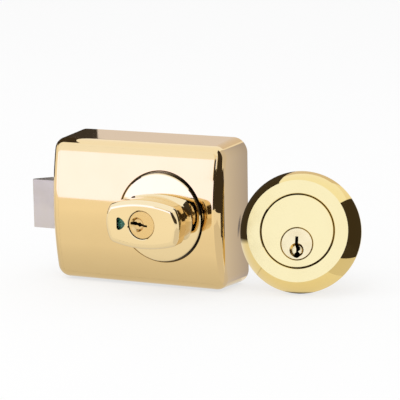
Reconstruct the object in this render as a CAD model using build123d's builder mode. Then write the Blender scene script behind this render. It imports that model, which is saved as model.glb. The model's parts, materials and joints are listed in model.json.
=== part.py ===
"""Rim night latch with a keyed turn knob and a separate outside rim cylinder."""
from build123d import *
import os
from math import atan, cos, radians, sin, sqrt

os.makedirs("parts", exist_ok=True)

# All lengths are millimetres and all angles degrees.
# The door face is the XZ plane. A depth is measured from it toward the room, which is -Y.
# The origin is where the knob's axis meets the door face; the bolt points toward -X.

# Lock case
backset = 60.0
knob_to_end = 32.0
case_height = 70.0
case_depth = 28.5
case_draft = 3.0
case_corner = 7.0
crown_radius = 115.0
front_edge_radius = 4.4
wall = 2.2
recess_bevel = 0.5
disc_gap = 0.6
bearing_wall = 3.5
bearing_seat = 4.4
running_gap = 0.3
bearing_gap = 0.05

# Back plate and what is fixed to it
plate_thickness = 2.0
plate_screw_inset = 8.0
plate_screw_radius = 1.5
plate_screw_length = 11.0
plate_screw_rim = 0.1
screw_cross = 4.2
screw_cross_width = 0.8
screw_cross_depth = 0.9
boss_radius = 4.2
nut_inset_x = 20.0
nut_draft_room = 0.4
nut_thread_radius = 1.65
nut_radius = 3.5
nut_step = 0.5
nut_length = 6.0

# Latch bolt
bolt_height = 23.6
bolt_thickness = 14.0
bolt_front_depth = 18.5
bolt_projection = 14.0
bolt_throw = 14.0
bolt_head_length = 28.0
bolt_tip_land = 1.6
bolt_corner = 0.5
bevel_bow = 0.7
tail_thickness = 3.0
tail_depth = 11.1
tail_low = 9.5
tail_web = 2.5
tail_slope = 3.0
tail_corner = 0.9
tail_lap = 1.0
tail_end = 3.75
slot_ease = 0.4

# What guides the bolt
guide_width = 9.0
guide_strap = 1.6
guide_round = 1.2
guide_end_room = 0.5
guide_boss_room = 1.1
guide_rivet_radius = 1.25
guide_rivet_round = 0.8
stud_radius = 2.5
stud_collar_radius = 4.2
stud_head = 1.5
stud_rivet_radius = 2.0

# Turn knob
knob_projection = 20.0
disc_radius = 20.8
disc_proud = 2.0
disc_dome = 1.5
disc_edge = 4.3
disc_rim = 0.4
grip_width = 37.8
grip_height = 22.8
grip_length = 9.0
grip_edge_radius = 2.6
grip_back_radius = 1.2
barrel_end = 2.4
barrel_side = 2.6
barrel_corner = 3.2
waist_width = 31.5
waist_height = 18.0
flare_width = 34.5
flare_height = 24.6
flare_sink = 0.3
sleeve_radius = 12.0
sleeve_length = 7.1
washer_thickness = 0.6
clip_groove = 1.2
clip_depth = 1.0
clip_rim = 2.0
clip_mouth = 10.8

# Knob cylinder and indicator
knob_plug_radius = 6.65
plug_sink = 0.8
plug_chamfer = 0.3
bore_lip = 0.3
keyway_depth = 24.0
keyway_shift = 1.4
dimple_shift = 2.3
dimple_radius = 3.4
dimple_depth = 1.2
dimple_slope = 40.0
wafer_count = 5
wafer_thickness = 1.0
wafer_pitch = 4.2
wafer_start = 5.2
wafer_height = 8.0
wafer_side_gap = 0.1
wafer_rim = 1.45
wafer_opening = 2.8
cam_rim = 1.2
cam_thickness = 1.8
cam_square = 5.0
cam_screw_radius = 1.5
cam_screw_rim = 1.9
cam_screw_head = 1.0
cam_screw_bite = 1.5
window_left = 12.6
window_width = 4.5
window_height = 6.2
window_skin = 1.8
window_corner = 1.1
window_bow_run = 3.04
window_bow_rise = 2.05
lens_sink = 0.6
flag_room = 2.0
flag_thickness = 0.8
enamel_thickness = 0.4
flag_swing = 34.0
flag_ring_width = 1.6

# Retractor, turned by the knob or by the outside tailpiece
retractor_arm = 14.0
retractor_turn = 60.0
retractor_thickness = 3.0
retractor_rim = 1.0
retractor_floor_thickness = 2.4
retractor_room = 0.5
retractor_screw_inset = 1.8
retractor_screw_radius = 1.1
retractor_screw_bite = 2.4
retractor_screw_head = 1.9
retractor_screw_slot = 0.5
hub_radius = 6.0
hub_room = 0.5
drive_pin_radius = 2.0
lever_side = 1.8
lever_root = 8.4
tail_slot_length = 7.2
tail_slot_width = 2.2

# Bolt spring
spring_coil_radius = 2.9
spring_wire_radius = 0.45
spring_wire_sides = 6
spring_turns = 8
spring_rod_radius = 1.3
spring_rod_end = 1.5
spring_rod_chamfer = 0.4
spring_tail_room = 2.9
spring_length = 28.0
spring_lug = 4.0
spring_lug_side = 0.7
post_size = 5.0
post_round = 2.0
post_foot_radius = 1.75

# Outside cylinder and security ring
ring_radius = 28.5
ring_face_radius = 23.6
ring_height = 9.9
ring_land = 1.2
ring_bow = 0.4
ring_wall = 2.6
ring_roof = 1.4
flange_radius = 16.9
flange_thickness = 3.0
flange_gap = 0.4
face_sink = 0.1
body_radius = 14.25
body_length = 30.0
spigot_step = 0.35
plug_radius = 7.4
plug_drop = 5.9
outside_dimple_drop = 2.9
outside_dimple_radius = 3.3
pin_count = 5
pin_pitch = 4.0
pin_start = 5.5
pin_radius = 1.4
pin_gap = 0.05
driver_length = 3.0
pin_spring_radius = 1.3
pin_spring_wall = 0.4
cover_length = 2.4
cap_wall = 0.9
cap_length = 3.5
stub_radius = 5.0
tail_grip = 4.0
key_stop = 1.0
tail_width = 6.3
tailpiece_thickness = 1.6
tail_length = 80.0
score_count = 5
score_pitch = 8.0
score_depth = 0.5
set_gap = 0.3
set_forward = 3.0
set_turn = 12.6
connecting_screw_radius = 2.1
connecting_screw_spacing = 20.0
connecting_screw_depth = 9.0

# Worked out from the values above
case_length = backset + knob_to_end
case_mid = (knob_to_end - backset) / 2
bolt_back_depth = bolt_front_depth - bolt_thickness
tail_front = tail_depth + tail_thickness / 2
tail_back = tail_depth - tail_thickness / 2
knob_face = case_depth + knob_projection
plug_face = knob_face - plug_sink
disc_face = case_depth + disc_proud
disc_back = disc_face - disc_edge
rim_face = disc_face - disc_dome
recess_floor = disc_back - running_gap
sleeve_end = disc_back - sleeve_length
grip_back = knob_face - grip_length
retractor_back = tail_front + retractor_room
rest_turn = retractor_turn / 2
pin_rest_x = -retractor_arm * sin(radians(rest_turn))
pin_rest_z = retractor_arm * cos(radians(rest_turn))


def toward_door(x, z, depth):
    """A plane at a depth whose normal points at the door."""
    return Plane(origin=(x, -depth, z), x_dir=(-1, 0, 0), z_dir=(0, 1, 0))


def save(piece, name):
    """Label a finished piece and write it as its own STEP file."""
    piece.label = name
    export_step(piece, f"parts/{name}.step")


def crowned_block(inset, depth):
    """A drafted block with a convex front, standing in from the case's outside."""
    with BuildPart() as block:
        with BuildSketch(Plane.XZ):
            with Locations((case_mid, 0)):
                RectangleRounded(case_length - 2 * inset, case_height - 2 * inset, case_corner - inset)
        extrude(amount=depth, taper=case_draft)
        with BuildSketch(Plane.YZ):
            with Locations((crown_radius - case_depth, 0)):
                Circle(crown_radius - case_depth + depth)
        extrude(amount=case_length, both=True, mode=Mode.INTERSECT)
    return block.part


corner_x = case_length / 2 - plate_screw_inset
corner_z = case_height / 2 - plate_screw_inset
plate_screw_places = [
    (case_mid + side * corner_x, level * corner_z)
    for side in (-1, 1)
    for level in (-1, 1)
]
boss_depth = recess_floor - wall
bearing_radius = sleeve_radius + bearing_wall
bearing_back = sleeve_end + bearing_seat

case_hollow = crowned_block(wall, case_depth - wall)

with BuildPart() as case_cover:
    add(crowned_block(0, case_depth))
    fillet(case_cover.faces().sort_by(Axis.Y)[0].edges(), radius=front_edge_radius)
    add(case_hollow, mode=Mode.SUBTRACT)
    # Corner bosses for the back plate's screws
    with BuildSketch(Plane.XZ.offset(plate_thickness)):
        with Locations(*plate_screw_places):
            Circle(boss_radius)
    extrude(amount=case_depth - crown_radius + sqrt(crown_radius**2 - (corner_z + boss_radius) ** 2)
            - plate_thickness - wall / 2)
    with BuildSketch(Plane.XZ.offset(plate_thickness)):
        with Locations(*plate_screw_places):
            Circle(plate_screw_radius + bearing_gap)
    extrude(amount=plate_screw_length, mode=Mode.SUBTRACT)
    # Seat and long bearing for the knob
    with BuildSketch(Plane.XZ.offset(boss_depth)):
        Circle(disc_radius + disc_gap + wall)
    extrude(amount=wall)
    with BuildSketch(Plane.XZ.offset(bearing_back)):
        Circle(bearing_radius)
    extrude(amount=boss_depth - bearing_back)
    with BuildSketch(Plane.XZ.offset(recess_floor)):
        Circle(disc_radius + disc_gap)
    extrude(amount=case_depth, mode=Mode.SUBTRACT)
    chamfer(case_cover.faces().sort_by(Axis.Y)[0].inner_wires()[0].edges(), length=recess_bevel)
    with BuildSketch(Plane.XZ):
        Circle(sleeve_radius + bearing_gap)
    extrude(amount=case_depth, mode=Mode.SUBTRACT)
    # Mouth for the bolt
    with BuildSketch(Plane.YZ.offset(-backset - 1)):
        with Locations((-(bolt_front_depth + bolt_back_depth) / 2, 0)):
            Rectangle(bolt_thickness + 2 * running_gap, bolt_height + 2 * running_gap)
    extrude(amount=2 * wall + 2, mode=Mode.SUBTRACT)
save(case_cover.part, "case_cover")

# Back plate
lug_half = spring_coil_radius + spring_lug_side
spring_drop = tail_low + spring_tail_room + lug_half
nut_z = (spring_drop + lug_half + case_height / 2 - wall - nut_draft_room) / 2
nut_places = [
    (case_mid + side * (case_length / 2 - nut_inset_x), level * nut_z)
    for side in (-1, 1)
    for level in (-1, 1)
]
guide_right = -backset + bolt_head_length - bolt_projection - guide_end_room
guide_x = guide_right - guide_width / 2
guide_half = bolt_height / 2 + running_gap
guide_outer = guide_half + guide_strap
guide_end = corner_z - boss_radius - guide_boss_room
guide_rivet_places = [(guide_x, side * (guide_outer + guide_end) / 2) for side in (-1, 1)]
window_half = hub_radius + hub_room
stud_slot = 2 * (stud_radius + running_gap)
stud_x = -window_half - bolt_throw - tail_web - stud_slot / 2
spring_lug_x = stud_x - bolt_throw
spring_start_x = spring_lug_x + spring_lug / 2
spring_post_x = spring_start_x + spring_length

with BuildPart() as back_plate:
    with BuildSketch(Plane.XZ):
        with Locations((case_mid, 0)):
            RectangleRounded(
                case_length - 2 * (wall + running_gap),
                case_height - 2 * (wall + running_gap),
                case_corner - wall - running_gap,
            )
        Circle(hub_radius + running_gap, mode=Mode.SUBTRACT)
        with Locations(*nut_places):
            Circle(nut_radius - nut_step, mode=Mode.SUBTRACT)
        with Locations(*guide_rivet_places):
            Circle(guide_rivet_radius, mode=Mode.SUBTRACT)
        with Locations((stud_x, 0)):
            Circle(stud_rivet_radius, mode=Mode.SUBTRACT)
        with Locations((spring_post_x + post_size / 2, -spring_drop)):
            Circle(post_foot_radius, mode=Mode.SUBTRACT)
    extrude(amount=plate_thickness)
    with Locations(*[toward_door(x, z, 0) for x, z in plate_screw_places]):
        CounterSinkHole(plate_screw_radius + plate_screw_rim, 2 * plate_screw_radius, depth=plate_thickness)
save(back_plate.part, "back_plate")

with BuildPart() as plate_screw:
    with BuildSketch(Plane.XZ):
        with BuildLine():
            Polyline(
                (0, 0),
                (2 * plate_screw_radius - plate_screw_rim, 0),
                (plate_screw_radius, -plate_screw_radius + plate_screw_rim),
                (plate_screw_radius, -plate_screw_length),
                (0, -plate_screw_length),
                close=True,
            )
        make_face()
    revolve(axis=Axis.Z)
    with BuildSketch(Plane.XY):
        Rectangle(screw_cross, screw_cross_width)
        Rectangle(screw_cross_width, screw_cross)
    extrude(amount=-screw_cross_depth, mode=Mode.SUBTRACT)

with BuildPart() as back_plate_screws:
    with Locations(*[toward_door(x, z, 0) for x, z in plate_screw_places]):
        add(plate_screw.part)
save(back_plate_screws.part, "back_plate_screws")

with BuildPart() as clinch_nuts:
    with BuildSketch(Plane.XZ.offset(plate_thickness)):
        with Locations(*nut_places):
            Circle(nut_radius)
    extrude(amount=nut_length)
    with BuildSketch(Plane.XZ):
        with Locations(*nut_places):
            Circle(nut_radius - nut_step)
    extrude(amount=plate_thickness)
    with BuildSketch(Plane.XZ):
        with Locations(*nut_places):
            Circle(nut_thread_radius)
    extrude(amount=plate_thickness + nut_length, mode=Mode.SUBTRACT)
save(clinch_nuts.part, "clinch_nuts")

# Latch bolt
head_left = -backset - bolt_projection
head_right = head_left + bolt_head_length
pin_slot_width = 2 * (drive_pin_radius + running_gap)
pin_rise = retractor_arm - pin_rest_z
tail_top = retractor_arm + pin_slot_width / 2 + tail_web
tail_right = window_half + tail_end
shoulder = pin_slot_width / 2 + tail_web
bevel_rise = bolt_thickness - bolt_tip_land
bevel_mid = bevel_rise / 2 - bevel_bow / sqrt(2)

with BuildPart() as latch_bolt:
    with BuildSketch(Plane.XY.offset(-bolt_height / 2)):
        with BuildLine():
            Polyline(
                (head_left, -bolt_back_depth - bevel_rise),
                (head_left, -bolt_front_depth),
                (head_right, -bolt_front_depth),
                (head_right, -bolt_back_depth),
                (head_left + bevel_rise, -bolt_back_depth),
            )
            ThreePointArc(
                (head_left + bevel_rise, -bolt_back_depth),
                (head_left + bevel_mid, -bolt_back_depth - bevel_mid),
                (head_left, -bolt_back_depth - bevel_rise),
            )
        make_face()
    extrude(amount=bolt_height)
    fillet(latch_bolt.edges().filter_by(Axis.Z).group_by(Axis.X)[0], radius=bolt_corner)
    with BuildSketch(Plane.XZ.offset(tail_back)) as tail_outline:
        with BuildLine():
            Polyline(
                (head_right - tail_lap, -tail_low),
                (tail_right, -tail_low),
                (tail_right, tail_low),
                (pin_rest_x + shoulder + tail_slope, tail_low),
                (pin_rest_x + shoulder, tail_top),
                (pin_rest_x - shoulder, tail_top),
                (pin_rest_x - shoulder - tail_slope, tail_low),
                (head_right - tail_lap, tail_low),
                close=True,
            )
        make_face()
        fillet(tail_outline.vertices(), radius=tail_corner)
        with Locations((-bolt_throw / 2, 0)):
            SlotCenterToCenter(bolt_throw, 2 * window_half, mode=Mode.SUBTRACT)
        with Locations((stud_x - bolt_throw / 2, 0)):
            SlotCenterToCenter(bolt_throw, stud_slot, mode=Mode.SUBTRACT)
        with Locations((pin_rest_x, pin_rest_z + pin_rise / 2)):
            SlotCenterToCenter(pin_rise + slot_ease, pin_slot_width, rotation=90, mode=Mode.SUBTRACT)
    extrude(amount=tail_thickness)
    # Lug that the spring pushes on
    with BuildSketch(Plane.XZ.offset(tail_depth - lug_half)):
        with Locations((spring_lug_x, -(spring_drop + lug_half) / 2)):
            Rectangle(spring_lug, spring_drop + lug_half)
        with Locations((spring_lug_x, 0)):
            Rectangle(2 * spring_lug, 2 * tail_low - tail_corner, mode=Mode.SUBTRACT)
    extrude(amount=2 * lug_half)
    with BuildSketch(Plane.YZ.offset(spring_lug_x - spring_lug)):
        with Locations((-tail_depth, -spring_drop)):
            Circle(spring_rod_radius + running_gap)
    extrude(amount=2 * spring_lug, mode=Mode.SUBTRACT)
save(latch_bolt.part, "latch_bolt")

# What guides and drives the bolt
foot_depth = plate_thickness + guide_strap
strap_depth = bolt_front_depth + running_gap

with BuildPart() as bolt_guide:
    with BuildSketch(Plane.YZ.offset(guide_x - guide_width / 2)):
        with BuildLine():
            Polyline(
                (-plate_thickness, guide_half),
                (-plate_thickness, guide_end),
                (-foot_depth, guide_end),
                (-foot_depth, guide_outer),
                (-strap_depth - guide_strap, guide_outer),
                (-strap_depth - guide_strap, -guide_outer),
                (-foot_depth, -guide_outer),
                (-foot_depth, -guide_end),
                (-plate_thickness, -guide_end),
                (-plate_thickness, -guide_half),
                (-strap_depth, -guide_half),
                (-strap_depth, guide_half),
                close=True,
            )
        make_face()
    extrude(amount=guide_width)
    fillet(bolt_guide.edges().filter_by(Axis.X).group_by(Axis.Y)[0], radius=guide_round)
    with BuildSketch(Plane.XZ):
        with Locations(*guide_rivet_places):
            Circle(guide_rivet_radius)
    extrude(amount=foot_depth, mode=Mode.SUBTRACT)
save(bolt_guide.part, "bolt_guide")

with BuildPart() as guide_rivets:
    with BuildSketch(Plane.XZ):
        with Locations(*guide_rivet_places):
            Circle(guide_rivet_radius)
    extrude(amount=foot_depth)
    with BuildSketch(Plane.XZ.offset(foot_depth)):
        with Locations(*guide_rivet_places):
            Circle(2 * guide_rivet_radius)
    extrude(amount=guide_rivet_radius)
    fillet(guide_rivets.faces().group_by(Axis.Y)[0].edges(), radius=guide_rivet_round)
save(guide_rivets.part, "guide_rivets")

with BuildPart() as guide_stud:
    with BuildSketch(Plane.XY):
        with BuildLine():
            Polyline(
                (stud_x, 0),
                (stud_x + stud_rivet_radius, 0),
                (stud_x + stud_rivet_radius, -plate_thickness),
                (stud_x + stud_collar_radius, -plate_thickness),
                (stud_x + stud_collar_radius, -tail_back + running_gap),
                (stud_x + stud_radius, -tail_back + running_gap),
                (stud_x + stud_radius, -tail_front - running_gap),
                (stud_x + stud_collar_radius, -tail_front - running_gap),
                (stud_x + stud_collar_radius, -tail_front - running_gap - stud_head),
                (stud_x, -tail_front - running_gap - stud_head),
                close=True,
            )
        make_face()
    revolve(axis=Axis((stud_x, 0, 0), (0, 1, 0)))
save(guide_stud.part, "guide_stud")

with BuildPart() as spring_post:
    with BuildSketch(Plane.XZ.offset(plate_thickness)):
        with Locations((spring_post_x + post_size / 2, -spring_drop)):
            Rectangle(post_size, 2 * lug_half)
    extrude(amount=tail_depth + lug_half - plate_thickness)
    fillet(spring_post.edges().filter_by(Axis.X).group_by(Axis.Y)[0], radius=post_round)
    with BuildSketch(Plane.XZ):
        with Locations((spring_post_x + post_size / 2, -spring_drop)):
            Circle(post_foot_radius)
    extrude(amount=plate_thickness)
    with BuildSketch(Plane.YZ.offset(spring_post_x)):
        with Locations((-tail_depth, -spring_drop)):
            Circle(spring_rod_radius)
    extrude(amount=post_size, mode=Mode.SUBTRACT)
save(spring_post.part, "spring_post")

rod_left = spring_lug_x - spring_lug / 2 - spring_rod_end
with BuildPart() as spring_rod:
    with BuildSketch(Plane.YZ.offset(rod_left)):
        with Locations((-tail_depth, -spring_drop)):
            Circle(spring_rod_radius)
    extrude(amount=spring_post_x + post_size - rod_left)
    chamfer(spring_rod.faces().sort_by(Axis.X)[0].edges(), length=spring_rod_chamfer)
save(spring_rod.part, "spring_rod")

coil_length = spring_length - 2 * spring_wire_radius
with BuildPart() as bolt_spring:
    with BuildLine() as coil:
        Helix(
            pitch=coil_length / spring_turns,
            height=coil_length,
            radius=spring_coil_radius,
            center=(spring_start_x + spring_wire_radius, -tail_depth, -spring_drop),
            direction=(1, 0, 0),
        )
    with BuildSketch(Plane(origin=coil.line @ 0, z_dir=coil.line % 0)):
        RegularPolygon(spring_wire_radius, spring_wire_sides)
    sweep(is_frenet=True)
save(bolt_spring.part, "bolt_spring")

# Turn knob
neck_top = grip_back + grip_back_radius
neck_waist = (disc_face + grip_back) / 2
flag_skin = knob_face - window_skin
flag_back = flag_skin - running_gap - enamel_thickness - flag_thickness
flag_ring_radius = knob_plug_radius + bearing_gap + flag_ring_width
flag_radius = window_left + running_gap
green_half = flag_swing / 2
pocket_half = 1.5 * flag_swing + flag_room
clip_front = bearing_back - running_gap / 2 - washer_thickness
clip_back = clip_front - clip_groove
retractor_screw_circle = sleeve_radius - retractor_screw_inset


def barrel_outline(width, height):
    """An oval with bowed sides, bowed ends and rounded corners."""
    end_x = width / 2 - barrel_end
    side_z = height / 2 - barrel_side
    with BuildSketch() as outline:
        with BuildLine():
            ThreePointArc((-end_x, side_z), (0, height / 2), (end_x, side_z))
            ThreePointArc((end_x, side_z), (width / 2, 0), (end_x, -side_z))
            ThreePointArc((end_x, -side_z), (0, -height / 2), (-end_x, -side_z))
            ThreePointArc((-end_x, -side_z), (-width / 2, 0), (-end_x, side_z))
        make_face()
        fillet(outline.vertices(), radius=barrel_corner)
    return outline.sketch


def sector_outline(inner, outer, start, swing):
    """A piece of a ring between two angles."""
    with BuildSketch() as outline:
        with BuildLine():
            far = CenterArc((0, 0), outer, start, swing)
            near = CenterArc((0, 0), inner, start, swing)
            Line(far @ 0, near @ 0)
            Line(far @ 1, near @ 1)
        make_face()
    return outline.sketch


def window_outline(gap):
    """The indicator window: straight on the left, bowed on the right."""
    left = -window_left + gap
    right = -window_left + window_width - gap
    top = window_height / 2 - gap
    bow_run = window_bow_run - 2 * gap
    bow_rise = window_bow_rise - gap
    with BuildSketch() as outline:
        with BuildLine():
            Line((left, -top), (left, top))
            ThreePointArc((left, top), (left + bow_run, bow_rise), (right, 0))
            ThreePointArc((right, 0), (left + bow_run, -bow_rise), (left, -top))
        make_face()
        fillet(outline.vertices().group_by(Axis.X)[0], radius=window_corner)
    return outline.sketch


with BuildPart() as grip:
    with BuildSketch(Plane.XZ.offset(grip_back)):
        add(barrel_outline(grip_width, grip_height))
    extrude(amount=grip_length)
    fillet(grip.faces().sort_by(Axis.Y)[0].edges(), radius=grip_edge_radius)
    fillet(grip.faces().sort_by(Axis.Y)[-1].edges(), radius=grip_back_radius)

with BuildPart() as neck:
    with BuildSketch(Plane.XZ.offset(rim_face - flare_sink)):
        add(barrel_outline(flare_width, flare_height))
    with BuildSketch(Plane.XZ.offset(neck_waist)):
        add(barrel_outline(waist_width, waist_height))
    with BuildSketch(Plane.XZ.offset(neck_top)):
        add(barrel_outline(grip_width - 2 * grip_back_radius, grip_height - 2 * grip_back_radius))
    loft()

with BuildPart() as knob:
    with BuildSketch(Plane.XY):
        with BuildLine():
            Line((0, -disc_face), (0, -disc_back))
            Line((0, -disc_back), (disc_radius, -disc_back))
            Line((disc_radius, -disc_back), (disc_radius, disc_rim - rim_face))
            Line((disc_radius, disc_rim - rim_face), (disc_radius - disc_rim, -rim_face))
            ThreePointArc(
                (disc_radius - disc_rim, -rim_face),
                (disc_radius / 2, -disc_face + disc_dome / 4),
                (0, -disc_face),
            )
        make_face()
    revolve(axis=Axis.Y)
    add(neck.part)
    add(grip.part)
    with BuildSketch(Plane.XZ.offset(sleeve_end)):
        Circle(sleeve_radius)
    extrude(amount=sleeve_length)
    # Bore for the plug, and the groove for the retaining clip
    with BuildSketch(Plane.XZ):
        Circle(knob_plug_radius + bearing_gap)
    extrude(amount=knob_face, mode=Mode.SUBTRACT)
    with BuildSketch(Plane.XZ.offset(knob_face)):
        Circle(knob_plug_radius + bearing_gap + bore_lip)
    extrude(amount=-bore_lip, taper=45, mode=Mode.SUBTRACT)
    with BuildSketch(Plane.XZ.offset(clip_back)):
        Circle(sleeve_radius + clip_depth)
        Circle(sleeve_radius - clip_depth, mode=Mode.SUBTRACT)
    extrude(amount=clip_groove, mode=Mode.SUBTRACT)
    # Pocket for the indicator flag, and its window
    with BuildSketch(Plane.XZ.offset(flag_back)):
        Circle(flag_ring_radius + running_gap)
        add(sector_outline(knob_plug_radius, flag_radius + running_gap, 180 - pocket_half, 2 * pocket_half))
    extrude(amount=flag_skin - flag_back, mode=Mode.SUBTRACT)
    with BuildSketch(Plane.XZ.offset(flag_skin)):
        add(window_outline(0))
    extrude(amount=window_skin, mode=Mode.SUBTRACT)
    # Threads for the retractor's screws
    with BuildSketch(Plane.XZ.offset(sleeve_end)):
        with PolarLocations(retractor_screw_circle, 3, start_angle=-90):
            Circle(retractor_screw_radius)
    extrude(amount=retractor_screw_bite, mode=Mode.SUBTRACT)
save(knob.part, "knob")

# What the knob carries
retractor_floor = retractor_back + retractor_floor_thickness
retractor_radius = sleeve_radius + retractor_rim
cam_radius = knob_plug_radius + cam_rim
lever_end = drive_pin_radius + lever_side
across = (cos(radians(rest_turn)), sin(radians(rest_turn)))
hub_end = running_gap

with BuildPart() as knob_washer:
    with BuildSketch(Plane.XZ.offset(clip_front)):
        Circle(bearing_radius)
        Circle(sleeve_radius + bearing_gap, mode=Mode.SUBTRACT)
    extrude(amount=washer_thickness)
save(knob_washer.part, "knob_washer")

with BuildPart() as knob_clip:
    with BuildSketch(Plane.XZ.offset(clip_back + bearing_gap)):
        Circle(sleeve_radius + clip_rim)
        Circle(sleeve_radius - clip_depth + bearing_gap, mode=Mode.SUBTRACT)
        with Locations((0, -sleeve_radius)):
            Rectangle(clip_mouth, 4 * clip_rim, mode=Mode.SUBTRACT)
    extrude(amount=clip_groove - 2 * bearing_gap)
save(knob_clip.part, "knob_clip")

with BuildPart() as window_lens:
    with BuildSketch(Plane.XZ.offset(flag_skin)):
        add(window_outline(bearing_gap))
    extrude(amount=window_skin - lens_sink)
save(window_lens.part, "window_lens")

# The keyway lies across the plug, with its narrow end to the right
with BuildPart() as knob_plug:
    with BuildSketch(Plane.XZ.offset(sleeve_end + bearing_gap)):
        Circle(knob_plug_radius)
    extrude(amount=plug_face - sleeve_end - bearing_gap)
    chamfer(knob_plug.faces().sort_by(Axis.Y)[0].edges(), length=plug_chamfer)
    with BuildSketch(Plane.XZ.offset(sleeve_end + bearing_gap - cam_thickness)):
        Rectangle(cam_square, cam_square)
    extrude(amount=cam_thickness)
    with BuildSketch(Plane.XZ.offset(knob_face - keyway_depth)):
        with BuildLine():
            Polyline(
                (-5.7, 1.1),
                (-3.3, 1.2),
                (-2.6, 0.7),
                (-1.2, 0.9),
                (-0.5, 0.25),
                (2.8, 0.05),
                (2.8, -0.85),
                (-0.8, -0.8),
                (-1.6, -1.2),
                (-2.7, -0.45),
                (-4.0, -0.6),
                (-5.7, -0.1),
                close=True,
            )
        make_face()
    extrude(amount=keyway_depth, mode=Mode.SUBTRACT)
    with BuildSketch(Plane.XZ.offset(plug_face)):
        with Locations((-dimple_shift, 0)):
            Circle(dimple_radius)
    extrude(amount=-dimple_depth, taper=dimple_slope, mode=Mode.SUBTRACT)
    for index in range(wafer_count):
        wafer_plane = Plane.XZ.offset(knob_face - wafer_start - index * wafer_pitch)
        with BuildSketch(wafer_plane):
            Rectangle(3 * knob_plug_radius, wafer_height + 2 * bearing_gap)
        extrude(amount=-wafer_thickness - 2 * bearing_gap, mode=Mode.SUBTRACT)
    with BuildSketch(Plane.XZ.offset(sleeve_end + bearing_gap - cam_thickness)):
        Circle(cam_screw_radius)
    extrude(amount=cam_thickness + cam_screw_bite + running_gap, mode=Mode.SUBTRACT)
save(knob_plug.part, "knob_plug")

wafer_width = 2 * (sqrt(knob_plug_radius**2 - (wafer_height / 2) ** 2) - wafer_side_gap)
with BuildPart() as knob_wafers:
    for index in range(wafer_count):
        wafer_plane = Plane.XZ.offset(knob_face - wafer_start - bearing_gap - index * wafer_pitch)
        with BuildSketch(wafer_plane):
            Rectangle(wafer_width, wafer_height)
            with Locations((-keyway_shift, 0)):
                Rectangle(wafer_width - 2 * wafer_rim, wafer_opening, mode=Mode.SUBTRACT)
        extrude(amount=-wafer_thickness)
save(knob_wafers.part, "knob_wafers")

with BuildPart() as knob_cam:
    with BuildSketch(Plane.XZ.offset(sleeve_end - cam_thickness)):
        Circle(cam_radius)
        Rectangle(cam_square + 2 * bearing_gap, cam_square + 2 * bearing_gap, mode=Mode.SUBTRACT)
    extrude(amount=cam_thickness)
save(knob_cam.part, "knob_cam")

with BuildPart() as cam_screw:
    with BuildSketch(Plane.XZ.offset(sleeve_end - cam_thickness)):
        Circle(cam_screw_radius - bearing_gap)
    extrude(amount=cam_thickness + cam_screw_bite)
    with BuildSketch(Plane.XZ.offset(sleeve_end - cam_thickness)):
        Circle(cam_screw_radius + cam_screw_rim)
    extrude(amount=-cam_screw_head)
save(cam_screw.part, "cam_screw")

flag_face = flag_back + flag_thickness
with BuildPart() as indicator_flag:
    with BuildSketch(Plane.XZ.offset(flag_back)):
        Circle(flag_ring_radius)
        add(sector_outline(knob_plug_radius, flag_radius, 180 - green_half, 2 * flag_swing))
        Circle(knob_plug_radius + bearing_gap, mode=Mode.SUBTRACT)
    extrude(amount=flag_thickness)
save(indicator_flag.part, "indicator_flag")

for name, turn in (("indicator_green", 0), ("indicator_red", flag_swing)):
    with BuildPart() as enamel:
        with BuildSketch(Plane.XZ.offset(flag_face)):
            add(sector_outline(flag_ring_radius, flag_radius, 180 - green_half + turn, flag_swing))
        extrude(amount=enamel_thickness)
    save(enamel.part, name)

# The retractor is screwed to the sleeve and its tail end turns in the back plate
with BuildPart() as retractor:
    with BuildSketch(Plane.XZ.offset(retractor_back)):
        Circle(retractor_radius)
    extrude(amount=sleeve_end - retractor_back)
    with BuildSketch(Plane.XZ.offset(retractor_back)) as lever:
        with BuildLine():
            Polyline(
                (pin_rest_x - lever_end * across[0], pin_rest_z - lever_end * across[1]),
                (-lever_root * across[0], -lever_root * across[1]),
                (lever_root * across[0], lever_root * across[1]),
                (pin_rest_x + lever_end * across[0], pin_rest_z + lever_end * across[1]),
                close=True,
            )
        make_face()
        with Locations((pin_rest_x, pin_rest_z)):
            Circle(lever_end)
    extrude(amount=retractor_thickness)
    with BuildSketch(Plane.XZ.offset(retractor_floor)):
        Circle(cam_radius + running_gap)
    extrude(amount=sleeve_end - retractor_floor, mode=Mode.SUBTRACT)
    with BuildSketch(Plane.XZ.offset(hub_end)):
        Circle(hub_radius)
    extrude(amount=retractor_back - hub_end)
    # Crossed slots for the flat tailpiece
    with BuildSketch(Plane.XZ):
        Rectangle(tail_slot_length, tail_slot_width)
        Rectangle(tail_slot_width, tail_slot_length)
    extrude(amount=retractor_back, mode=Mode.SUBTRACT)
    with BuildSketch(Plane.XZ):
        with Locations((pin_rest_x, pin_rest_z)):
            Circle(drive_pin_radius)
    extrude(amount=case_depth, mode=Mode.SUBTRACT)
    with BuildSketch(Plane.XZ):
        with PolarLocations(retractor_screw_circle, 3, start_angle=-90):
            Circle(retractor_screw_radius)
    extrude(amount=case_depth, mode=Mode.SUBTRACT)
    with BuildSketch(Plane.XZ.offset(retractor_back)):
        with PolarLocations(retractor_screw_circle, 3, start_angle=-90):
            Circle(retractor_screw_head + bearing_gap)
    extrude(amount=retractor_screw_radius + 2 * bearing_gap, mode=Mode.SUBTRACT)
save(retractor.part, "retractor")

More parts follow.
